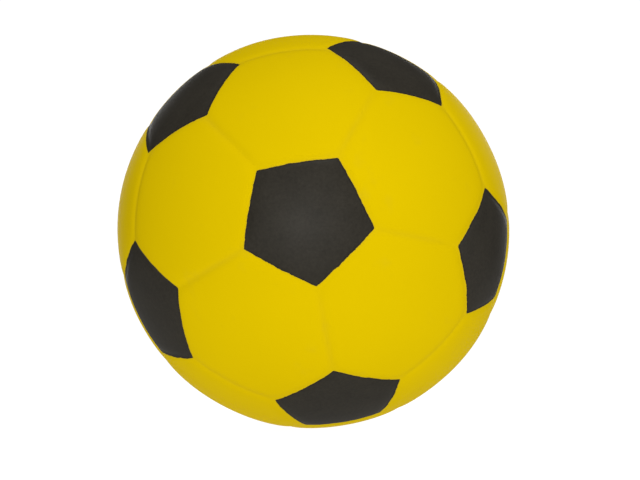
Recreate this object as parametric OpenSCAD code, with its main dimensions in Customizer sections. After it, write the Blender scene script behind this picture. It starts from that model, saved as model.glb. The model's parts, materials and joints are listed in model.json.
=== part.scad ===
// Moulded rubber playground ball: twelve black pentagons and twenty yellow hexagons of rubber
// sheet, laid edge to edge over a carcass, a thread winding and an inflated bladder.
// The origin is the ball's centre, +Z is up, and the valve points along +Y.

/* [Ball] */
// Diameter over the panels
ball_d = 216; // [180:2:240]
// Turn of the panel pattern about the valve's axis, in degrees
pattern_turn = 9; // [0:1:71]
// Where a pentagon's corner lies between its own centre and the next pentagon's (1/3 is regular)
corner_share = 0.31; // [0.29:0.01:0.34]

/* [Layers] */
// Thickness of the rubber panels
panel_t = 1.2; // [1:0.1:2]
// Thickness of the rubber carcass under the panels
carcass_t = 0.4; // [0.3:0.1:1]
// Thickness of the nylon thread winding
winding_t = 0.4; // [0.3:0.1:1]
// Thickness of the bladder's wall
bladder_t = 0.7; // [0.5:0.1:1.5]
// Cement line between two layers
cement_t = 0.05; // [0.05:0.05:0.2]

/* [Seams] */
// Width of the rounded groove along each seam
groove_w = 4.8; // [3:0.2:7]
// Depth of the groove
groove_depth = 0.4; // [0.2:0.1:0.8]
// Gap between the edges of two panels
seam_gap = 0.1; // [0.1:0.05:0.3]

/* [Valve] */
// Diameter of the valve core's head, level with the rear pentagon
head_d = 8; // [7:0.5:12]
// Diameter of the valve core's shank
shank_d = 6; // [5:0.5:6.5]
// Length of the valve core under its head
shank_l = 24; // [18:1:30]
// Diameter of the channel for the inflating needle
needle_d = 2; // [1.8:0.1:2.4]
// Length of that channel
needle_l = 16; // [10:1:17]
// Diameter of the valve housing's neck
neck_d = 11; // [10:0.5:14]
// Length of the valve housing's neck
neck_l = 20; // [14:1:24]
// Diameter of the valve housing's flange, inside the bladder
flange_d = 28; // [20:1:40]
// Thickness of that flange
flange_t = 1.2; // [0.8:0.1:2]

/* [Hidden] */
$fn = 180;
panel_in_r = ball_d / 2 - panel_t;
carcass_r = panel_in_r - cement_t;
winding_r = carcass_r - carcass_t - cement_t;
bladder_r = winding_r - winding_t - cement_t;
bladder_in_r = bladder_r - bladder_t;

// The groove is cut by a torus whose tube just sinks into the panels
groove_r = (pow(groove_w / 2, 2) + pow(groove_depth, 2)) / (2 * groove_depth);
groove_ring_r = ball_d / 2 - groove_depth + groove_r;

// Fits of the valve core: a running fit in its housing, and a hand's clearance in the panel
core_clearance = 0.05;
head_clearance = 0.1;
head_sunk = 0.1;
mouth_chamfer = 0.4;
tip_taper_l = 6;
tip_d = 3;

YELLOW = [0.88, 0.76, 0.01];
BLACK = [0.16, 0.15, 0.14];
BUTYL = [0.10, 0.10, 0.11];
THREAD = [0.90, 0.89, 0.84];
CARCASS = [0.45, 0.42, 0.38];
VALVE = [0.20, 0.19, 0.18];

// The twelve pentagons sit on an icosahedron's corners: the front one, the five round it,
// the five round the rear one, and the rear one with the valve
corner_angle = acos(1 / sqrt(5));
function unit(v) = v / norm(v);
function ring_axis(k, side) =
    let (turn = pattern_turn - 90 + 72 * k + (side > 0 ? 36 : 0))
    [sin(corner_angle) * cos(turn), side * cos(corner_angle), sin(corner_angle) * sin(turn)];
PENTAGONS = concat(
    [[0, -1, 0]],
    [for (k = [0 : 4]) ring_axis(k, -1)],
    [for (k = [0 : 4]) ring_axis(k, 1)],
    [[0, 1, 0]]
);
REAR = len(PENTAGONS) - 1;

// Each hexagon lies between three pentagons
HEXAGONS = concat(
    [for (k = [0 : 4]) [0, 1 + k, 1 + (k + 1) % 5]],
    [for (k = [0 : 4]) [1 + k, 1 + (k + 1) % 5, 6 + k]],
    [for (k = [0 : 4]) [6 + k, 6 + (k + 1) % 5, 1 + (k + 1) % 5]],
    [for (k = [0 : 4]) [REAR, 6 + k, 6 + (k + 1) % 5]]
);

// A corner of pentagon a, on the line to pentagon b
function corner(a, b) = unit((1 - corner_share) * PENTAGONS[a] + corner_share * PENTAGONS[b]);
// An edge is the pair of corners it joins
function pentagon_edge(a, b, c) = [corner(a, b), corner(a, c)];
function seam_edge(a, b) = [corner(a, b), corner(b, a)];
function others(t, a) = [for (i = t) if (i != a) i];
function pentagon_edges(a) =
    [for (t = HEXAGONS) if (len(others(t, a)) == 2)
        let (o = others(t, a)) pentagon_edge(a, o[0], o[1])];
function hexagon_edges(t) = [
    pentagon_edge(t[0], t[1], t[2]), seam_edge(t[0], t[1]),
    pentagon_edge(t[1], t[2], t[0]), seam_edge(t[1], t[2]),
    pentagon_edge(t[2], t[0], t[1]), seam_edge(t[2], t[0])
];

function numbered(name, k) = str(name, k < 10 ? "0" : "", k);
function pentagon_name(k) = numbered("pentagon_panel_", k + 1);
function hexagon_name(k) = numbered("hexagon_panel_", k + 1);

// Turns +Z to the direction n
module toward(n) {
    rotate([0, acos(n[2]), atan2(n[1], n[0])]) children();
}

// Turns +Z to the valve's direction, +Y
module along_valve() {
    rotate([-90, 0, 0]) children();
}

module shell(outer_r, inner_r) {
    difference() {
        sphere(r = outer_r);
        sphere(r = inner_r);
    }
}

// A piece of the cover: the shell between planes through the centre, one plane an edge,
// with half of a rounded groove along each edge
module panel(middle, edges) {
    inward = [for (e = edges) let (n = unit(cross(e[0], e[1]))) n * middle > 0 ? n : -n];
    difference() {
        intersection() {
            sphere(r = ball_d / 2);
            intersection_for (n = inward)
                toward(n)
                    translate([-ball_d, -ball_d, seam_gap / 2]) cube(2 * ball_d);
        }
        sphere(r = panel_in_r);
        for (n = inward)
            toward(n)
                rotate_extrude() translate([groove_ring_r, 0]) circle(r = groove_r);
    }
}

module pentagon_panel(k) {
    color(BLACK)
        difference() {
            panel(PENTAGONS[k], pentagon_edges(k));
            if (k == REAR) valve_hole(head_d / 2 + head_clearance);
        }
}

module hexagon_panel(k) {
    t = HEXAGONS[k];
    color(YELLOW)
        panel(unit(PENTAGONS[t[0]] + PENTAGONS[t[1]] + PENTAGONS[t[2]]), hexagon_edges(t));
}

// A straight hole along the valve's axis, through every layer
module valve_hole(r) {
    along_valve() cylinder(r = r, h = ball_d);
}

// One closed layer, open only where the valve housing's neck comes through
module layer(outer_r, inner_r) {
    difference() {
        shell(outer_r, inner_r);
        valve_hole(neck_d / 2 + cement_t);
    }
}

module carcass() {
    color(CARCASS) layer(carcass_r, carcass_r - carcass_t);
}

module thread_winding() {
    color(THREAD) layer(winding_r, winding_r - winding_t);
}

module bladder() {
    color(BUTYL) layer(bladder_r, bladder_in_r);
}

// Moulded rubber tube with a flange that is cemented to the bladder's inside
module valve_housing() {
    flange_r = bladder_in_r - cement_t;
    color(VALVE)
        difference() {
            union() {
                intersection() {
                    along_valve()
                        translate([0, 0, carcass_r - neck_l]) cylinder(d = neck_d, h = ball_d);
                    sphere(r = carcass_r);
                }
                intersection() {
                    along_valve() cylinder(d = flange_d, h = ball_d);
                    shell(flange_r, flange_r - flange_t);
                }
            }
            valve_hole(shank_d / 2 + core_clearance);
        }
}

// Push-in rubber plug: a flat head, a shank with a blind channel and a tapered tip
module valve_core() {
    head_top = ball_d / 2 - head_sunk;
    head_base = panel_in_r;
    tip = head_base - shank_l;
    color(VALVE)
        along_valve()
            rotate_extrude()
                polygon([
                    [0, tip],
                    [tip_d / 2, tip],
                    [shank_d / 2, tip + tip_taper_l],
                    [shank_d / 2, head_base],
                    [head_d / 2, head_base],
                    [head_d / 2, head_top],
                    [needle_d / 2 + mouth_chamfer, head_top],
                    [needle_d / 2, head_top - mouth_chamfer],
                    [needle_d / 2, head_top - mouth_chamfer - needle_l],
                    [0, head_top - mouth_chamfer - needle_l]
                ]);
}

for (k = [0 : REAR])
    pentagon_panel(k);
for (k = [0 : len(HEXAGONS) - 1])
    hexagon_panel(k);
carcass();
thread_winding();
bladder();
valve_housing();
valve_core();
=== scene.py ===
"""Moulded rubber playground ball: black pentagons, yellow hexagons and a push-in valve."""
import json
import math

import bpy
import numpy as np
from bpy.props import FloatProperty, FloatVectorProperty, IntProperty, PointerProperty
from bpy.types import Operator, Panel, PropertyGroup
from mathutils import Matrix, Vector


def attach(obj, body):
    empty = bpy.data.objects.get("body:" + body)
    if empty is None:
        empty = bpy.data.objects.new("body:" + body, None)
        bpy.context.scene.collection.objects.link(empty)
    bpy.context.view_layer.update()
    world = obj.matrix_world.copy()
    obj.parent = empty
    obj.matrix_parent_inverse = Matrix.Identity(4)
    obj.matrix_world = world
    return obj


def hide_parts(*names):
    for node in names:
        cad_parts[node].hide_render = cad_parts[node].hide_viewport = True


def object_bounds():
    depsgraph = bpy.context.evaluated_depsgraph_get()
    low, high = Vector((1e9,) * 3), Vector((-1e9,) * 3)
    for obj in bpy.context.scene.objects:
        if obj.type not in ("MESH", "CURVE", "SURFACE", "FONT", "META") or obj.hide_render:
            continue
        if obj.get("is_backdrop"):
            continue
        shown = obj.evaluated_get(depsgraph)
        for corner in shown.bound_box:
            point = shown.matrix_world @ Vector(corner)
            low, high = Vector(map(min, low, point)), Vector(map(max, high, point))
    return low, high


bl_info = {
    "name": "Moulded Rubber Ball",
    "version": (1, 0, 0),
    "blender": (4, 5, 0),
    "location": "3D View > Sidebar > Ball",
    "description": "Builds a 32-panel rubber playground ball, its valve, finishes and studio",
    "category": "Add Mesh",
}

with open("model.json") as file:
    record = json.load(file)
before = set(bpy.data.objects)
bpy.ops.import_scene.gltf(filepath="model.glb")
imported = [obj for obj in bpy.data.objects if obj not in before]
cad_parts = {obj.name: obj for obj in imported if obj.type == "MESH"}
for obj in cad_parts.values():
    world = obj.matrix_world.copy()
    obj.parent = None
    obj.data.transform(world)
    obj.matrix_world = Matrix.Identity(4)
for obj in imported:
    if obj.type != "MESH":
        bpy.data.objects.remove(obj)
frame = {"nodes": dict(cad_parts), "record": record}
CAD_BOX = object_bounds()

MM = 0.001
PENTAGON_NODES = sorted(name for name in frame["nodes"] if name.startswith("pentagon_panel"))
HEXAGON_NODES = sorted(name for name in frame["nodes"] if name.startswith("hexagon_panel"))
# Sides of a pentagon, and pentagons round a hexagon
PENTAGON_SIDES = 5
HEXAGON_PENTAGONS = 3

# How far off its place a pentagon was laid, in millimetres right and up seen from outside.
# The rear one is laid true, because the valve goes through it. Those not listed are laid off by
# chance.
PENTAGON_LAY = {
    "pentagon_panel_01": (-0.7, 0.0),
    "pentagon_panel_02": (1.0, -1.0),
    "pentagon_panel_03": (1.8, 0.0),
    "pentagon_panel_04": (0.7, 1.1),
    "pentagon_panel_05": (-1.5, 1.5),
    "pentagon_panel_06": (-0.2, 0.4),
    "pentagon_panel_12": (0.0, 0.0),
}
# How far outside its place each side of a pentagon was cut, in millimetres, counter-clockwise
# seen from outside. Those not listed are cut by chance.
PENTAGON_TRIM = {
    "pentagon_panel_01": (0.0, -0.5, 0.0, -0.5, 0.5),
    "pentagon_panel_02": (0.5, 0.5, 0.5, 0.0, -0.5),
    "pentagon_panel_03": (0.5, 0.5, 1.0, -0.5, -0.5),
    "pentagon_panel_04": (0.5, 0.5, 3.0, 2.0, 0.0),
    "pentagon_panel_05": (2.0, 0.0, 2.0, 0.0, 1.5),
    "pentagon_panel_06": (1.5, 1.5, 1.5, 1.5, 1.0),
}


# ---------------------------------------------------------------- reading the CAD frame


def cad_points(node):
    """The vertices of a CAD node, as an array of shape (vertices, 3)."""
    mesh = frame["nodes"][node].data
    flat = np.empty(len(mesh.vertices) * 3)
    mesh.vertices.foreach_get("co", flat)
    return flat.reshape(-1, 3)


def cad_facing(node):
    """Unit vector from the ball's centre to a node's middle.

    It is the sum of the triangles' centres, each times its area, at length one.
    """
    mesh = frame["nodes"][node].data
    mesh.calc_loop_triangles()
    corners = np.empty(len(mesh.loop_triangles) * 3, dtype=np.int32)
    mesh.loop_triangles.foreach_get("vertices", corners)
    triangles = cad_points(node)[corners].reshape(-1, 3, 3)
    first, second, third = triangles.swapaxes(0, 1)
    areas = length(np.cross(second - first, third - first))
    return unit((triangles.mean(axis=1) * areas).sum(axis=0))


def length(vectors):
    """Lengths along the last axis, kept as an axis of one."""
    return np.linalg.norm(vectors, axis=-1, keepdims=True)


def unit(vectors):
    """The same directions with length one."""
    return vectors / length(vectors)


BALL_R = float(CAD_BOX[1].z)
PANEL_IN_R = float(length(cad_points(PENTAGON_NODES[0])).min())


# ---------------------------------------------------------------- sizes and colours


class BallShape(PropertyGroup):
    """Sizes of the cover, and how unevenly it was laid and moulded."""

    corner_share: FloatProperty(
        name="Corner Share", default=0.31, min=0.28, max=0.34,
        description="Where a pentagon's corner lies between its own middle and the next pentagon's")
    groove_half_width: FloatProperty(
        name="Groove Half Width", default=1.65 * MM, unit="LENGTH",
        description="Distance over which a seam's groove rises from its bottom")
    groove_depth: FloatProperty(
        name="Groove Depth", default=0.75 * MM, unit="LENGTH",
        description="Depth of the groove along each seam")
    corner_sharpness: FloatProperty(
        name="Corner Sharpness", default=110.0, min=8.0, max=200.0,
        description="Higher values round the black pentagons' corners less")
    lay_error: FloatProperty(
        name="Lay Error", default=0.7 * MM, unit="LENGTH",
        description="How far off its place a black pentagon was laid, where chance picks it")
    trim_error: FloatProperty(
        name="Trim Error", default=0.5 * MM, unit="LENGTH",
        description="How far off its place a pentagon's side was cut, where chance picks it")
    edge_wobble: FloatProperty(
        name="Edge Wobble", default=0.10 * MM, unit="LENGTH",
        description="Waviness of the black pentagons' cut edges")
    lump_height: FloatProperty(
        name="Lump Height", default=0.12 * MM, unit="LENGTH",
        description="Height of the broad unevenness of the moulded skin")
    out_of_round: FloatProperty(
        name="Out of Round", default=0.15 * MM, unit="LENGTH",
        description="How much taller than wide the inflated ball stands, at each end")
    seam_gap: FloatProperty(
        name="Seam Gap", default=0.004 * MM, unit="LENGTH",
        description="Gap between the edges of neighbouring panels")
    hole_lip: FloatProperty(
        name="Hole Lip", default=0.5 * MM, unit="LENGTH",
        description="Rounding of the rear panel's edge round the valve")
    seed: IntProperty(
        name="Seed", default=7,
        description="Picks what chance decides: lay, cut edges and the skin's unevenness")


class BallFinish(PropertyGroup):
    """Colours and gloss of the two rubbers of the cover."""

    yellow: FloatVectorProperty(
        name="Yellow", subtype="COLOR", size=3, min=0.0, max=1.0,
        default=(0.540, 0.384, 0.0002), description="Colour of the yellow rubber")
    black: FloatVectorProperty(
        name="Black", subtype="COLOR", size=3, min=0.0, max=1.0,
        default=(0.0218, 0.0192, 0.0145), description="Colour of the black rubber")
    roughness: FloatProperty(
        name="Roughness", default=0.55, min=0.0, max=1.0,
        description="Roughness of the moulded skin")


class BallStudio(PropertyGroup):
    """Camera, floor and lights."""

    azimuth: FloatProperty(
        name="Azimuth", default=math.radians(1.64), subtype="ANGLE",
        description="Turn of the camera round the ball, towards +X")
    elevation: FloatProperty(
        name="Elevation", default=math.radians(-3.58), subtype="ANGLE",
        description="Height of the camera's place above the ball's middle")
    distance: FloatProperty(
        name="Distance", default=8.82 * BALL_R, unit="LENGTH",
        description="Distance from the camera to the ball's middle")
    aim_right: FloatProperty(
        name="Aim Right", default=3.8 * MM, unit="LENGTH",
        description="How far right of the ball's middle the camera aims")
    aim_down: FloatProperty(
        name="Aim Down", default=4.7 * MM, unit="LENGTH",
        description="How far below the ball's middle the camera aims")
    lens: FloatProperty(
        name="Lens", default=96.7, description="Focal length in millimetres on a 36 mm sensor")
    world_light: FloatProperty(
        name="Room Light", default=0.25, description="Brightness of the white room")
    key_light: FloatProperty(
        name="Key Light", default=54.0,
        description="Power of the large soft light by the camera, in watts")
    fill_light: FloatProperty(
        name="Fill Light", default=23.0,
        description="Power of the soft light at the right, in watts")
    overhead_light: FloatProperty(
        name="Overhead Light", default=54.0,
        description="Power of the large soft light overhead, in watts")
    back_light: FloatProperty(
        name="Back Light", default=24.0,
        description="Power of each soft light behind the ball, in watts")
    floor_glow: FloatProperty(
        name="Floor Glow", default=0.98,
        description="Brightness of the light under the acrylic floor")
    backdrop_white: FloatProperty(
        name="Backdrop White", default=1.06,
        description="Brightness of the white seen behind the ball")
    floor_radius: FloatProperty(
        name="Floor Radius", default=0.7, unit="LENGTH",
        description="Radius of the pale floor")


# ---------------------------------------------------------------- the panel pattern


def tangents(axis):
    """Two unit vectors square to axis and to each other, with right x up = axis.

    right is level, unless axis is close to +Z, where it is square to +Y.
    """
    helper = np.array([0.0, 0.0, 1.0]) if abs(axis[2]) < 0.9 else np.array([0.0, 1.0, 0.0])
    right = unit(np.cross(helper, axis))
    return right, np.cross(axis, right)


def azimuth_about(axis, points):
    """Angle of each point round axis, counter-clockwise seen from outside."""
    right, up = tangents(axis)
    return np.arctan2(points @ up, points @ right)


def at_angle(axis, azimuth, reach):
    """Unit vectors that stand at an angle reach from axis, in the direction azimuth round it."""
    right, up = tangents(axis)
    azimuth, reach = azimuth[..., None], reach[..., None]
    sideways = np.cos(azimuth) * right + np.sin(azimuth) * up
    return np.cos(reach) * axis + np.sin(reach) * sideways


def laid(axis, right_by, up_by):
    """A direction moved right and up, by lengths measured along the ball's skin."""
    right, up = tangents(axis)
    return unit(axis + (right_by * right + up_by * up) / BALL_R)


# A cut edge is uneven by a wave of each of these numbers round its pentagon
EDGE_WAVES = np.arange(3, 91)
# The skin's broad waves, in radians of phase for each radius moved
LUMP_WAVES = np.linspace(3.0, 16.0, 14)
# A seam whose middle is further than this from a panel's middle doesn't reach the panel
SEAM_REACH = math.radians(48)


class Pattern:
    """The layout of the 32 panels on the unit sphere, read from the CAD panels' directions.

    The black pentagons lie a little off their places, and the moulded seams run between them.
    """

    def __init__(self, shape):
        self.shape = shape
        lay = self.chosen_or_chance(PENTAGON_LAY, 2, shape.lay_error, shape.seed)
        self.trim = self.chosen_or_chance(
            PENTAGON_TRIM, PENTAGON_SIDES, shape.trim_error, shape.seed + 3)
        self.pentagons = np.array([
            laid(cad_facing(node), *offset) for node, offset in zip(PENTAGON_NODES, lay)])
        self.hexagons = np.array([cad_facing(node) for node in HEXAGON_NODES])
        self.neighbours = [
            self.ordered_about(axis, PENTAGON_SIDES, skip=1) for axis in self.pentagons]
        self.surrounding = [
            self.ordered_about(axis, HEXAGON_PENTAGONS, skip=0) for axis in self.hexagons]
        self.waves = self.edge_waves()
        self.arcs = self.seam_arcs()
        self.lumps = self.skin_lumps()

    def ordered_about(self, axis, count, skip):
        """The count nearest pentagons to axis, after skip of them, counter-clockwise about it."""
        nearest = np.argsort(-(self.pentagons @ axis))[skip:skip + count]
        return nearest[np.argsort(azimuth_about(axis, self.pentagons[nearest]))]

    def corner(self, here, there):
        """The moulded corner of pentagon here on the seam that runs to pentagon there."""
        share = self.shape.corner_share
        return unit((1 - share) * self.pentagons[here] + share * self.pentagons[there])

    def chosen_or_chance(self, chosen, count, spread, seed):
        """For each pentagon, its chosen numbers in metres, or as many drawn by chance."""
        chance = spread * np.random.default_rng(seed).normal(size=(len(PENTAGON_NODES), count))
        return [np.array(chosen[node]) * MM if node in chosen else chance[index]
                for index, node in enumerate(PENTAGON_NODES)]

    def edge_waves(self):
        """For each pentagon, the heights and phases of the waves round its cut edge.

        Heights are angles at the ball's centre, drawn by chance, and fade with the wave's number
        as 1 / (1 + (number / 5) to the power 1.1).
        """
        random = np.random.default_rng(self.shape.seed + 2)
        fade = self.shape.edge_wobble / (1 + (EDGE_WAVES / 5) ** 1.1)
        heights = fade * random.normal(size=(len(self.pentagons), len(EDGE_WAVES)))
        phases = random.uniform(0, 2 * np.pi, size=heights.shape)
        return heights / BALL_R, phases

    def black_reach(self, index, azimuth):
        """Angle from a pentagon's middle to its cut edge, at each azimuth round it.

        A straight side stands at tan(reach) = tan(side's reach) / cos(angle from its middle). A
        high power mean over the five sides rounds the corners, and waves make the edge uneven.
        """
        axis, ring = self.pentagons[index], self.neighbours[index]
        here = np.array([self.corner(index, near) for near in ring])
        after = np.roll(here, -1, axis=0)
        across = unit(np.cross(here, after))
        middles = azimuth_about(axis, -across)
        side_tangent = np.tan(np.arcsin(across @ axis) + self.trim[index] / BALL_R)
        from_middle = azimuth[..., None] - middles
        power = self.shape.corner_sharpness
        inverse = np.clip(np.cos(from_middle), 0, None) / side_tangent
        mean = (inverse ** power).sum(axis=-1) ** (1 / power)
        heights, phases = self.waves
        turns = EDGE_WAVES * azimuth[..., None] + phases[index]
        return np.arctan(1 / mean) + (heights[index] * np.cos(turns)).sum(axis=-1)

    def cut_edge(self, index, azimuth):
        """Points of a pentagon's cut edge, at each azimuth round it."""
        return at_angle(self.pentagons[index], azimuth, self.black_reach(index, azimuth))

    def black_tip(self, here, there):
        """The rounded tip of black pentagon here that points to pentagon there."""
        return self.cut_edge(here, azimuth_about(self.pentagons[here], self.pentagons[there]))

    def past_black(self, blacks, directions):
        """Distance of each direction past the nearest cut edge, and below zero on the black.

        Only the pentagons whose indices are in blacks count.
        """
        gaps = []
        for index in blacks:
            axis = self.pentagons[index]
            angle = np.arccos(np.clip(directions @ axis, -1, 1))
            gaps.append(angle - self.black_reach(index, azimuth_about(axis, directions)))
        return np.min(gaps, axis=0) * BALL_R

    def pentagon_outline(self, index, samples):
        """The cut edge of a black pentagon, counter-clockwise, denser near its corners."""
        corners = azimuth_about(self.pentagons[index], self.pentagons[self.neighbours[index]])
        turns = (np.roll(corners, -1) - corners) % (2 * np.pi)
        azimuth = corners[:, None] + turns[:, None] * crowded_ends(samples)
        return self.cut_edge(index, azimuth.ravel())

    def hexagon_outline(self, index, samples):
        """The edge of a yellow hexagon, counter-clockwise.

        It follows each black pentagon's cut edge, then a straight seam to the next one's corner.
        """
        ring = self.surrounding[index]
        share = crowded_ends(samples)
        stretches = []
        for k, here in enumerate(ring):
            there, before = ring[(k + 1) % HEXAGON_PENTAGONS], ring[k - 1]
            start, end = azimuth_about(self.pentagons[here], self.pentagons[[before, there]])
            stretches.append(self.cut_edge(here, start - (start - end) % (2 * np.pi) * share))
            first, last = self.black_tip(here, there), self.black_tip(there, here)
            stretches.append(unit(np.outer(1 - share, first) + np.outer(share, last)))
        return np.concatenate(stretches)

    def seam_arcs(self):
        """The starts and ends of all 90 seams: 30 between hexagons, 60 round the pentagons."""
        starts, ends = [], []
        for here, ring in enumerate(self.neighbours):
            for k, there in enumerate(ring):
                starts.append(self.corner(here, there))
                ends.append(self.corner(here, ring[(k + 1) % PENTAGON_SIDES]))
                if here < there:
                    starts.append(self.corner(here, there))
                    ends.append(self.corner(there, here))
        return np.array(starts), np.array(ends)

    def groove(self, points, axis):
        """Depth of the moulded grooves at each point, from 0 on the panels to 1 at a seam.

        One seam's groove falls as 1 / cosh(distance / half width). Where seams meet their grooves
        join smoothly, as 1 - (1 - one) * (1 - other).
        """
        starts, ends = self.arcs
        near = unit(starts + ends) @ axis > math.cos(SEAM_REACH)
        flat = points.reshape(-1, 3)
        left = np.ones(len(flat))
        for start, end in zip(starts[near], ends[near]):
            across = unit(np.cross(start, end))
            off_line = np.abs(np.arcsin(np.clip(flat @ across, -1, 1)))
            off_ends = np.arccos(np.clip(np.maximum(flat @ start, flat @ end), -1, 1))
            beside = (np.cross(start, flat) @ across >= 0) & (np.cross(flat, end) @ across >= 0)
            distance = np.where(beside, off_line, off_ends) * BALL_R
            left *= 1 - 1 / np.cosh(distance / self.shape.groove_half_width)
        return (1 - left).reshape(points.shape[:-1])

    def skin_lumps(self):
        """Directions, phases and heights of the broad waves in the moulded skin.

        Directions and phases are drawn by chance, and heights fall as 1 / root of the wave number.
        """
        random = np.random.default_rng(self.shape.seed + 1)
        directions = unit(random.normal(size=(len(LUMP_WAVES), 3))) * LUMP_WAVES[:, None]
        phases = random.uniform(0, 2 * np.pi, size=len(LUMP_WAVES))
        heights = self.shape.lump_height / np.sqrt(LUMP_WAVES / LUMP_WAVES[0])
        return directions, phases, heights

    def skin_radius(self, points, axis):
        """Distance of the outer skin from the ball's middle at each direction.

        The ball's radius, less the grooves, plus a sum of broad cosine waves along fixed
        directions, plus a share of height squared less width squared, which makes it a little tall.
        """
        directions, phases, heights = self.lumps
        lumps = (heights * np.cos(points @ directions.T + phases)).sum(axis=-1)
        tall = self.shape.out_of_round * (points[..., 2] ** 2 - points[..., 0] ** 2)
        return BALL_R - self.shape.groove_depth * self.groove(points, axis) + lumps + tall


def crowded_ends(samples):
    """Numbers from 0 up to but not including 1, closer together near both ends.

    They are even steps less three quarters of the sine that would bring them to rest there.
    """
    even = np.arange(samples) / samples
    return even - 0.75 * np.sin(2 * np.pi * even) / (2 * np.pi)


# ---------------------------------------------------------------- meshes


# Edges that turn by more than this are shaded sharp
SHARP_ANGLE = math.radians(50)


def grid_faces(rows, columns, closed):
    """Quads of a grid whose columns close on themselves, and whose rows do too if closed."""
    row = np.arange(rows if closed else rows - 1)[:, None]
    column = np.arange(columns)[None, :]
    here, below = row * columns, (row + 1) % rows * columns
    after = (column + 1) % columns
    quads = np.stack([here + column, below + column, below + after, here + after], axis=-1)
    return quads.reshape(-1, 4).tolist()


def pole_faces(first, columns, pole, outward):
    """Triangles from a ring of vertices, which starts at index first, to one pole vertex."""
    column = np.arange(columns)
    here, after = first + column, first + (column + 1) % columns
    apex = np.full(columns, pole)
    order = [apex, here, after] if outward else [apex, after, here]
    return np.stack(order, axis=-1).tolist()


def make_piece(name, grid, poles=None, facts=None):
    """A mesh object from a grid of points whose columns close on themselves.

    The first and last rows end in the two poles, or in each other where there are none. facts
    are named numbers, one for each point, kept as attributes for the materials.
    """
    rows, columns = grid.shape[:2]
    points = grid.reshape(-1, 3)
    faces = grid_faces(rows, columns, closed=poles is None)
    if poles is not None:
        points = np.concatenate([points, np.asarray(poles)])
        faces += pole_faces(0, columns, rows * columns, outward=True)
        faces += pole_faces((rows - 1) * columns, columns, rows * columns + 1, outward=False)
    mesh = bpy.data.meshes.new(name)
    mesh.from_pydata(points.tolist(), [], faces)
    mesh.shade_smooth()
    mesh.set_sharp_from_angle(angle=SHARP_ANGLE)
    for fact, values in (facts or {}).items():
        held = np.zeros(len(points))
        held[:rows * columns] = values.ravel()
        if poles is not None:
            held[rows * columns:] = values[0].mean(), values[-1].mean()
        mesh.attributes.new(fact, "FLOAT", "POINT").data.foreach_set("value", held)
    mesh.validate()
    piece = bpy.data.objects.new(name, mesh)
    bpy.context.scene.collection.objects.link(piece)
    return piece


# Rows of a panel's grid over the skin, under it and round the valve's hole
OUTER_ROWS = 52
INNER_ROWS = 6
RIM_ROWS = 7
# Columns of that grid along each side
SIDE_SAMPLES = 64


def skin_shares(rows):
    """Shares of the way from a panel's middle to its edge, closer together in the groove.

    The share left to go is the row's even share left to go, to the power 1.5.
    """
    even = np.linspace(0, 1, rows + 1)[1:]
    return 1 - (1 - even) ** 1.5


def panel_piece(pattern, name, axis, outline, blacks, hole_r=0.0):
    """A panel as a closed shell on a polar grid about its middle.

    Rows run from the middle out over the skin to the edge, down the edge, and back under the
    panel. The point at share s of a row's way and at azimuth a stands at the angle s * reach(a)
    from the middle, and at the skin's radius. With a hole, rows start on its rim, a quarter of a
    circle that drops into the hole, and the grid closes on itself. blacks are the indices of the
    black pentagons at the panel.
    """
    shape = pattern.shape
    azimuth = azimuth_about(axis, outline)
    reach = np.arccos(np.clip(outline @ axis, -1, 1)) - shape.seam_gap / 2 / BALL_R
    outer, inner = skin_shares(OUTER_ROWS), skin_shares(INNER_ROWS)[::-1]
    rim, rim_drop, hole = np.zeros(0), np.zeros(0), hole_r / BALL_R
    if hole_r:
        bend = np.linspace(math.pi / 2, 0, RIM_ROWS)
        rim = hole + shape.hole_lip * (1 - np.sin(bend)) / BALL_R
        rim_drop = shape.hole_lip * (1 - np.cos(bend))
        inner = np.append(inner, 0.0)
    start = rim[-1] if hole_r else 0.0
    angles = np.concatenate([
        np.broadcast_to(rim[:, None], (len(rim), len(reach))),
        start + outer[:, None] * (reach - start),
        hole + inner[:, None] * (reach - hole),
    ])
    directions = at_angle(axis, np.broadcast_to(azimuth, angles.shape), angles)
    under = len(rim) + len(outer)
    radius = np.full(angles.shape, PANEL_IN_R)
    radius[:under] = pattern.skin_radius(directions[:under], axis)
    radius[:len(rim)] -= rim_drop[:, None]
    poles = None
    if not hole_r:
        top = pattern.skin_radius(axis[None, :], axis)[0]
        poles = [axis * top, axis * PANEL_IN_R]
    facts = {
        "groove": pattern.groove(directions, axis),
        "from_black": pattern.past_black(blacks, directions),
    }
    return make_piece(name, directions * radius[..., None], poles, facts)


# ---------------------------------------------------------------- finishes


class Value:
    """One output of a node. Arithmetic on it adds Math nodes."""

    def __init__(self, nodes, socket):
        self.nodes = nodes
        self.socket = socket

    def __add__(self, other):
        return self.nodes.math("ADD", self, other)

    def __radd__(self, other):
        return self.nodes.math("ADD", other, self)

    def __sub__(self, other):
        return self.nodes.math("SUBTRACT", self, other)

    def __rsub__(self, other):
        return self.nodes.math("SUBTRACT", other, self)

    def __mul__(self, other):
        return self.nodes.math("MULTIPLY", self, other)

    def __rmul__(self, other):
        return self.nodes.math("MULTIPLY", other, self)


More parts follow.
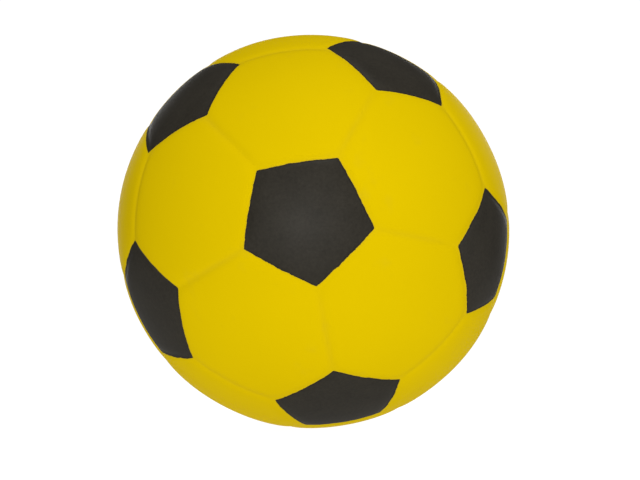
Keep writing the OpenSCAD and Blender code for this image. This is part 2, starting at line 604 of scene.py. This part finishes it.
class ShaderNodes:
    """The nodes that lead to one shader. Its constant values are set on the shader itself."""

    def __init__(self, owner, shader, constants):
        owner.use_nodes = True
        self.tree = owner.node_tree
        self.shader = self.tree.nodes[shader]
        for socket, value in constants.items():
            self.shader.inputs[socket.replace("_", " ")].default_value = value

    def node(self, kind, settings=None, inputs=None, output=0):
        """Adds a node, with its settings set first, and then the values or links of its sockets."""
        made = self.tree.nodes.new(kind)
        for setting, value in (settings or {}).items():
            if setting == "stops":
                set_stops(made.color_ramp, value)
            else:
                setattr(made, setting, value)
        for socket, value in (inputs or {}).items():
            if isinstance(value, Value):
                self.tree.links.new(value.socket, made.inputs[socket])
            else:
                made.inputs[socket].default_value = value
        return Value(self, made.outputs[output])

    def math(self, operation, *terms):
        """Adds a Math node on numbers or values."""
        return self.node("ShaderNodeMath", {"operation": operation}, dict(enumerate(terms)))

    def feed(self, socket, value):
        """Links a value to the shader."""
        self.tree.links.new(value.socket, self.shader.inputs[socket])


class Finish(ShaderNodes):
    """A material being built from nodes."""

    def __init__(self, name, **constants):
        self.material = bpy.data.materials.new(name)
        super().__init__(self.material, "Principled BSDF", constants)

    def place(self):
        """Coordinates of the piece itself, in metres."""
        return self.node("ShaderNodeTexCoord", output="Object")

    def fact(self, name):
        """A named number kept on the mesh."""
        return self.node("ShaderNodeAttribute", {"attribute_name": name}, output="Fac")

    def noise(self, scale, detail=2.0, roughness=0.5):
        """Smooth noise from 0 to 1, with scale in waves a metre."""
        inputs = {"Vector": self.place(), "Scale": scale, "Detail": detail, "Roughness": roughness}
        return self.node("ShaderNodeTexNoise", {"noise_dimensions": "3D"}, inputs)

    def ramp(self, value, stops):
        """Maps a value through stops of (place, grey) to a number."""
        grey = [(place, (level, level, level, 1.0)) for place, level in stops]
        return self.node("ShaderNodeValToRGB", {"stops": grey}, {"Fac": value})

    def blend(self, factor, first, second):
        """Mixes two colours."""
        inputs = {0: factor, 6: opaque(first), 7: opaque(second)}
        return self.node("ShaderNodeMix", {"data_type": "RGBA"}, inputs, output=2)

    def bump(self, height, distance, strength=1.0, under=None):
        """Tilts the surface as if height, from 0 to 1, stood distance metres proud."""
        inputs = {"Height": height, "Distance": distance, "Strength": strength}
        if under is not None:
            inputs["Normal"] = under
        return self.node("ShaderNodeBump", None, inputs, output="Normal")


def set_stops(ramp, stops):
    """Gives a new colour ramp its stops."""
    while len(ramp.elements) < len(stops):
        ramp.elements.new(1.0)
    for element, (place, colour) in zip(ramp.elements, stops):
        element.position = place
        element.color = colour


def opaque(colour):
    """A colour of three numbers with alpha 1, or a Value as it is."""
    return colour if isinstance(colour, Value) else (*colour[:3], 1.0)


def scaled(colour, factor):
    """A colour, lighter or darker."""
    return tuple(factor * part for part in colour[:3])


def moulded_skin(finish, cloud, grain, cloudiness):
    """The satin skin of both rubbers: uneven roughness, and a fine grain over shallow dimples."""
    roughness = bpy.context.scene.ball_finish.roughness
    grain_share = 0.06
    level = roughness - (cloudiness + grain_share) / 2
    finish.feed("Roughness", cloud * cloudiness + grain * grain_share + level)
    fine = finish.noise(scale=1400.0, detail=3.0, roughness=0.6)
    dimples = finish.noise(scale=120.0, detail=2.0)
    skin = finish.bump(fine, 0.02 * MM, 0.5)
    finish.feed("Normal", finish.bump(dimples, 0.08 * MM, 0.5, skin))


def yellow_rubber():
    """Smooth satin yellow rubber.

    Its pigment is clouded, with faint scuffs, patches of painted shade in the grooves' bottoms, and
    a thin smear and frayed nicks of black beside each pentagon.
    """
    look = bpy.context.scene.ball_finish
    finish = Finish("yellow_rubber", IOR=1.035, Specular_Tint=(1.0, 0.72, 0.05, 1.0))
    cloud = finish.noise(scale=28.0, detail=3.0)
    grain = finish.noise(scale=900.0, detail=2.0)
    shade = cloud * 0.75 + grain * 0.25
    colour = finish.blend(shade, scaled(look.yellow, 0.97), scaled(look.yellow, 1.02))
    marks = finish.noise(scale=55.0, detail=5.0, roughness=0.65)
    scuffs = finish.ramp(marks, [(0.61, 0.0), (0.75, 1.0)])
    colour = finish.blend(scuffs * 0.04, colour, scaled(look.black, 4.0))
    off_black = finish.fact("from_black") * (1 / MM)
    smear = finish.ramp(off_black, [(0.0, 0.2), (0.5, 0.05), (1.0, 0.0)])
    colour = finish.blend(smear, colour, scaled(look.black, 2.0))
    # Noise shifts the distance past the black, so that its edge frays
    frayed = off_black * 2.0 + finish.noise(scale=650.0, detail=1.0) * 2.0 - 0.7
    nicks = finish.ramp(frayed, [(0.0, 0.9), (0.25, 0.7), (0.45, 0.0)])
    colour = finish.blend(nicks, colour, scaled(look.black, 1.2))
    # Painted shade: the bottoms of the grooves are darkened towards black, in patches.
    patches = finish.ramp(finish.noise(scale=22.0, detail=2.0), [(0.35, 0.0), (0.65, 1.0)])
    in_groove = [(0.0, 0.0), (0.45, 0.1), (0.8, 0.6), (1.0, 1.0)]
    groove_shade = finish.ramp(finish.fact("groove"), in_groove) * (patches * 0.05)
    finish.feed("Base Color", finish.blend(groove_shade, colour, scaled(look.black, 3.0)))
    moulded_skin(finish, cloud, grain, cloudiness=0.08)
    return finish.material


def black_rubber():
    """Smooth satin black rubber: warm and speckled, with painted shade along its cut edge, and a
    thin coat.
    """
    look = bpy.context.scene.ball_finish
    finish = Finish(
        "black_rubber", IOR=1.05, Coat_Weight=0.042, Coat_IOR=2.0, Coat_Roughness=0.46)
    cloud = finish.noise(scale=55.0, detail=4.0, roughness=0.6)
    grain = finish.noise(scale=650.0, detail=3.0, roughness=0.7)
    shade = finish.ramp(cloud * 0.4 + grain * 0.6, [(0.35, 0.0), (0.65, 1.0)])
    colour = finish.blend(shade, scaled(look.black, 0.80), scaled(look.black, 1.20))
    # Painted shade: the black darkens towards its cut edge, where it meets the groove's wall.
    edge_shade_width = 1.4 * MM
    to_edge = finish.fact("from_black") * (1 / edge_shade_width) + 1.0
    edge = finish.ramp(to_edge, [(0.0, 0.0), (0.5, 0.25), (1.0, 0.8)])
    finish.feed("Base Color", finish.blend(edge, colour, scaled(look.black, 0.45)))
    moulded_skin(finish, cloud, grain, cloudiness=0.10)
    return finish.material


def plain_rubber(name, colour, roughness, grain_scale):
    """Unseen moulded rubber: matt, with a fine grain and faint flow marks."""
    finish = Finish(name, IOR=1.45)
    cloud = finish.noise(scale=40.0, detail=4.0)
    grain = finish.noise(scale=grain_scale, detail=2.0)
    finish.feed("Base Color", finish.blend(cloud, scaled(colour, 0.8), scaled(colour, 1.15)))
    grain_share = 0.12
    finish.feed("Roughness", grain * grain_share + (roughness - grain_share / 2))
    finish.feed("Normal", finish.bump(grain, 0.03 * MM, 0.6))
    return finish.material


def wound_thread():
    """Nylon thread wound over the bladder, as three sets of fine rings that cross."""
    finish = Finish("wound_thread", IOR=1.5)
    place = finish.place()
    windings = []
    for turn in (0.2, 1.3, 2.4):
        turned = finish.node(
            "ShaderNodeVectorRotate", {"rotation_type": "EULER_XYZ"},
            {"Vector": place, "Rotation": (turn, turn * 1.7, turn * 0.6)})
        windings.append(finish.node(
            "ShaderNodeTexWave", {"wave_type": "RINGS"},
            {"Vector": turned, "Scale": 180.0, "Distortion": 1.5, "Detail": 1.0,
             "Detail Scale": 0.4}, output="Fac"))
    pile = finish.math("MAXIMUM", windings[0], windings[1])
    pile = finish.math("MAXIMUM", pile, windings[2])
    finish.feed("Base Color", finish.blend(pile, (0.42, 0.40, 0.34), (0.80, 0.78, 0.70)))
    finish.feed("Roughness", pile * -0.2 + 0.6)
    finish.feed("Normal", finish.bump(pile, 0.15 * MM, 0.8))
    return finish.material


def cover(piece, material):
    """Gives a piece one material."""
    piece.data.materials.clear()
    piece.data.materials.append(material)


# ---------------------------------------------------------------- pieces


def rear_pentagon():
    """The pentagon node that the valve goes through."""
    valve_axis = cad_facing("valve_core")
    return max(PENTAGON_NODES, key=lambda node: cad_facing(node) @ valve_axis)


def valve_hole_radius(node):
    """Radius of the valve's hole in a node: the least distance of its vertices from the axis."""
    valve_axis = cad_facing("valve_core")
    points = cad_points(node)
    return float(length(points - (points @ valve_axis)[:, None] * valve_axis).min())


class BALL_OT_pentagons(Operator):
    """Build the twelve black pentagon panels, the rear one with the valve's hole"""

    bl_idname = "ball.pentagons"
    bl_label = "Pentagon Panels"

    def execute(self, context):
        pattern = Pattern(context.scene.ball_shape)
        rubber = black_rubber()
        rear = rear_pentagon()
        for index, node in enumerate(PENTAGON_NODES):
            piece = panel_piece(
                pattern, "black_" + node, pattern.pentagons[index],
                pattern.pentagon_outline(index, SIDE_SAMPLES), [index],
                valve_hole_radius(node) if node == rear else 0.0)
            cover(piece, rubber)
            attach(piece, "ball")
            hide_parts(node)
        return {"FINISHED"}


class BALL_OT_hexagons(Operator):
    """Build the twenty yellow hexagon panels"""

    bl_idname = "ball.hexagons"
    bl_label = "Hexagon Panels"

    def execute(self, context):
        pattern = Pattern(context.scene.ball_shape)
        rubber = yellow_rubber()
        for index, node in enumerate(HEXAGON_NODES):
            piece = panel_piece(
                pattern, "yellow_" + node, pattern.hexagons[index],
                pattern.hexagon_outline(index, SIDE_SAMPLES), pattern.surrounding[index])
            cover(piece, rubber)
            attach(piece, "ball")
            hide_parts(node)
        return {"FINISHED"}


class BALL_OT_inner_layers(Operator):
    """Give the carcass, winding, bladder and valve housing their finishes"""

    bl_idname = "ball.inner_layers"
    bl_label = "Inner Layers"

    def execute(self, context):
        finishes = {
            "carcass": plain_rubber("carcass_rubber", (0.17, 0.14, 0.12), 0.8, 700.0),
            "thread_winding": wound_thread(),
            "bladder": plain_rubber("bladder_rubber", (0.012, 0.012, 0.013), 0.45, 1200.0),
            "valve_housing": plain_rubber("valve_rubber", (0.016, 0.015, 0.014), 0.6, 1500.0),
        }
        for node, material in finishes.items():
            cover(frame["nodes"][node], material)
        return {"FINISHED"}


# Columns of a grid that is turned about an axis
TURNED_COLUMNS = 96


def turned_angles():
    """The angles of those columns, once round."""
    return np.arange(TURNED_COLUMNS) * 2 * np.pi / TURNED_COLUMNS


def revolved(profile):
    """A grid of points: a profile of (radius, height) pairs turned about the +Y axis."""
    angle = turned_angles()
    radius, height = profile[:, 0, None], profile[:, 1, None]
    return np.stack([
        radius * np.sin(angle),
        np.broadcast_to(height, (len(profile), len(angle))),
        radius * np.cos(angle),
    ], axis=-1)


def arc(centre, radius, start, end, steps=7):
    """Points (x, y) round centre at a radius, from the angle start to the angle end."""
    angle = np.linspace(start, end, steps)
    return np.asarray(centre) + radius * np.stack([np.cos(angle), np.sin(angle)], axis=-1)


class BALL_OT_valve_core(Operator):
    """Build the push-in rubber valve core: head, needle channel, ribbed shank, flattened tip"""

    bl_idname = "ball.valve_core"
    bl_label = "Valve Core"

    def execute(self, context):
        points = cad_points("valve_core")
        low, high = points[:, 1].min(), points[:, 1].max()
        radii = np.hypot(points[:, 0], points[:, 2])
        head_r = radii.max()
        shank_r = radii[points[:, 1] < (low + high) / 2].max()
        head_base = points[radii > (head_r + shank_r) / 2][:, 1].min()
        channel = next(m for m in frame["record"]["mounts"] if m["name"] == "needle_channel")
        channel_r = channel["dims"]["r_mm"] * MM
        channel_end = channel["pos_m"][1] - channel["dims"]["length_mm"] / 2 * MM
        profile = valve_profile(channel_r, channel_end, high, head_r, head_base, shank_r, low)
        grid = revolved(profile)
        flattened_length, flattening = 7 * MM, 0.45
        squeeze = np.clip(1 - (grid[..., 1] - low) / flattened_length, 0, 1) ** 1.5
        grid[..., 0] *= 1 - flattening * squeeze
        poles = [(0.0, profile[0, 1], 0.0), (0.0, profile[-1, 1], 0.0)]
        piece = make_piece("valve_plug", grid, poles)
        cover(piece, plain_rubber("plug_rubber", (0.019, 0.018, 0.017), 0.55, 1800.0))
        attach(piece, "valve_core")
        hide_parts("valve_core")
        return {"FINISHED"}


def valve_profile(channel_r, channel_end, top, head_r, head_base, shank_r, tip):
    """The valve core's half section, from the channel's blind end, over the head, to the tip.

    Quarter circles round the channel's mouth and the head's rim, a parabola dishes the head, the
    shank's ribs are a raised cosine to the third power, and its tip tapers as a power of height.
    """
    mouth, rim, dish, nip = 0.45 * MM, 0.3 * MM, 0.12 * MM, 0.15 * MM
    taper_length, rib_pitch, rib_depth = 6 * MM, 2.4 * MM, 0.22 * MM
    tip_r, tip_round = 1.5 * MM, 0.5 * MM
    # The channel's blind end is flat and rises to its wall at the rim
    channel = np.outer((0.3, 0.7, 0.95, 1.0), (channel_r, 0)) + (0, channel_end)
    channel[-1, 1] += nip
    funnel = arc((channel_r + mouth, top - mouth), mouth, math.pi, math.pi / 2)
    across = np.linspace(-1, 1, 16)[1:-1]
    face_from, face_to = channel_r + mouth, head_r - rim
    face = np.stack([
        (face_from + face_to) / 2 + (face_to - face_from) / 2 * across,
        top - dish * (1 - across ** 2)], axis=-1)
    edge = arc((head_r - rim, top - rim), rim, math.pi / 2, 0)
    under = np.array([
        (head_r, head_base + nip), (head_r - nip, head_base), (shank_r + nip, head_base)])
    taper_top = tip + taper_length
    height = np.linspace(head_base - nip, taper_top, 90)
    rib = 0.5 - 0.5 * np.cos(2 * np.pi * (height - taper_top) / rib_pitch)
    shank = np.stack([shank_r - rib_depth * rib ** 3, height], axis=-1)
    share = np.linspace(0, 1, 16)[1:]
    taper = np.stack([
        shank_r + (tip_r - shank_r) * share ** 1.3,
        taper_top + (tip + tip_round - taper_top) * share], axis=-1)
    end = arc((tip_r - tip_round, tip + tip_round), tip_round, 0, -math.pi / 2)[1:]
    flat = np.array([(tip_r * 0.4, tip)])
    return np.concatenate([channel, funnel, face, edge, under, shank, taper, end, flat])


# ---------------------------------------------------------------- studio


# Rings of the floor's grid
FLOOR_RINGS = 24
# The place and the side of each soft light, in metres
SOFT_LIGHTS = (
    ("key", (-0.15, -2.9, 0.10), 0.9),
    ("overhead", (0.1, -0.8, 2.8), 1.6),
    ("fill", (2.9, -0.75, 0.3), 1.5),
    ("back", (-0.9, 2.75, 0.5), 1.2),
    ("back", (0.9, 2.75, 0.5), 1.2),
)


class BALL_OT_studio(Operator):
    """Build the pale floor, the white room, the soft lights and the camera"""

    bl_idname = "ball.studio"
    bl_label = "Studio"

    def execute(self, context):
        studio = context.scene.ball_studio
        self.make_floor(studio)
        self.make_room(context.scene, studio)
        self.make_lights(studio)
        self.make_camera(context.scene, studio)
        return {"FINISHED"}

    def make_floor(self, studio):
        """A flat round floor of acrylic lit from below, which the ball's lowest point touches.

        It is a grid of rings round its middle, whose radii grow as the cube of their number.
        """
        height = float(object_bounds()[0].z)
        radius = np.linspace(0, 1, FLOOR_RINGS + 1)[1:, None] ** 3 * studio.floor_radius
        angle = turned_angles()
        grid = np.stack([
            radius * np.cos(angle),
            radius * np.sin(angle),
            np.full((FLOOR_RINGS, TURNED_COLUMNS), height),
        ], axis=-1)
        mesh = bpy.data.meshes.new("floor")
        faces = grid_faces(FLOOR_RINGS, TURNED_COLUMNS, closed=False)
        faces += pole_faces(0, TURNED_COLUMNS, FLOOR_RINGS * TURNED_COLUMNS, outward=True)
        points = np.concatenate([grid.reshape(-1, 3), [[0.0, 0.0, height]]])
        mesh.from_pydata(points.tolist(), [], faces)
        floor = bpy.data.objects.new("floor", mesh)
        bpy.context.scene.collection.objects.link(floor)
        finish = Finish(
            "floor_white", Roughness=0.9, Specular_IOR_Level=0.0,
            Emission_Color=(1.0, 1.0, 1.0, 1.0), Emission_Strength=studio.floor_glow)
        speck = finish.noise(scale=3.0, detail=2.0)
        finish.feed("Base Color", finish.blend(speck, (0.14, 0.14, 0.14), (0.16, 0.16, 0.16)))
        cover(floor, finish.material)
        floor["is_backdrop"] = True

    def make_room(self, scene, studio):
        """An even room all round, dimmer as a light than the white that is seen behind the ball."""
        world = bpy.data.worlds.new("room")
        room = ShaderNodes(world, "Background", {"Color": (1.0, 1.0, 1.0, 1.0)})
        seen = room.node("ShaderNodeLightPath", output="Is Camera Ray")
        room.feed("Strength", room.node("ShaderNodeMix", None, {
            "Factor": seen, "A": studio.world_light, "B": studio.backdrop_white}, "Result"))
        scene.world = world
        scene.view_settings.view_transform = "Standard"

    def make_lights(self, studio):
        """Soft lights near the camera, overhead, at the right, and behind on both sides."""
        for name, place, side in SOFT_LIGHTS:
            add_soft_light(name, place, side, getattr(studio, name + "_light"))

    def make_camera(self, scene, studio):
        """The camera, aimed a little off the ball's middle."""
        turn, lift = studio.azimuth, studio.elevation
        level = Vector((math.sin(turn), -math.cos(turn), 0.0))
        back = level * math.cos(lift) + Vector((0.0, 0.0, math.sin(lift)))
        right = Vector((math.cos(turn), math.sin(turn), 0.0))
        data = bpy.data.cameras.new("camera")
        data.lens = studio.lens
        data.clip_start = 0.01
        data.clip_end = 100.0
        camera = bpy.data.objects.new("camera", data)
        camera.location = back * studio.distance
        aim = right * studio.aim_right - back.cross(right) * studio.aim_down
        camera.rotation_euler = (aim - camera.location).to_track_quat("-Z", "Y").to_euler()
        scene.collection.objects.link(camera)
        scene.camera = camera


def add_soft_light(name, place, side, power):
    """A square area light that faces the ball's middle and isn't seen itself."""
    data = bpy.data.lights.new(name, "AREA")
    data.size = side
    data.energy = power
    light = bpy.data.objects.new(name, data)
    light.location = place
    light.visible_camera = False
    light.rotation_euler = (-Vector(place)).to_track_quat("-Z", "Y").to_euler()
    bpy.context.scene.collection.objects.link(light)


# ---------------------------------------------------------------- add-on


class BALL_PT_sidebar(Panel):
    """Sizes, colours and steps of the ball in the 3D view's sidebar"""

    bl_idname = "BALL_PT_sidebar"
    bl_label = "Rubber Ball"
    bl_space_type = "VIEW_3D"
    bl_region_type = "UI"
    bl_category = "Ball"

    def draw(self, context):
        layout = self.layout
        for name, group in GROUPS.items():
            box = layout.box()
            for prop in group.__annotations__:
                box.prop(getattr(context.scene, name), prop)
        for step in STEPS:
            layout.operator(step.bl_idname)


GROUPS = {"ball_shape": BallShape, "ball_finish": BallFinish, "ball_studio": BallStudio}
STEPS = (
    BALL_OT_pentagons, BALL_OT_hexagons, BALL_OT_inner_layers, BALL_OT_valve_core, BALL_OT_studio)


def register():
    for group in GROUPS.values():
        bpy.utils.register_class(group)
    for name, group in GROUPS.items():
        setattr(bpy.types.Scene, name, PointerProperty(type=group))
    for step in (*STEPS, BALL_PT_sidebar):
        bpy.utils.register_class(step)


def unregister():
    for step in (*STEPS, BALL_PT_sidebar):
        bpy.utils.unregister_class(step)
    for name in GROUPS:
        delattr(bpy.types.Scene, name)
    for group in GROUPS.values():
        bpy.utils.unregister_class(group)


def main():
    register()
    bpy.ops.ball.pentagons()
    bpy.ops.ball.hexagons()
    bpy.ops.ball.inner_layers()
    bpy.ops.ball.valve_core()
    bpy.ops.ball.studio()


if __name__ == "__main__":
    main()
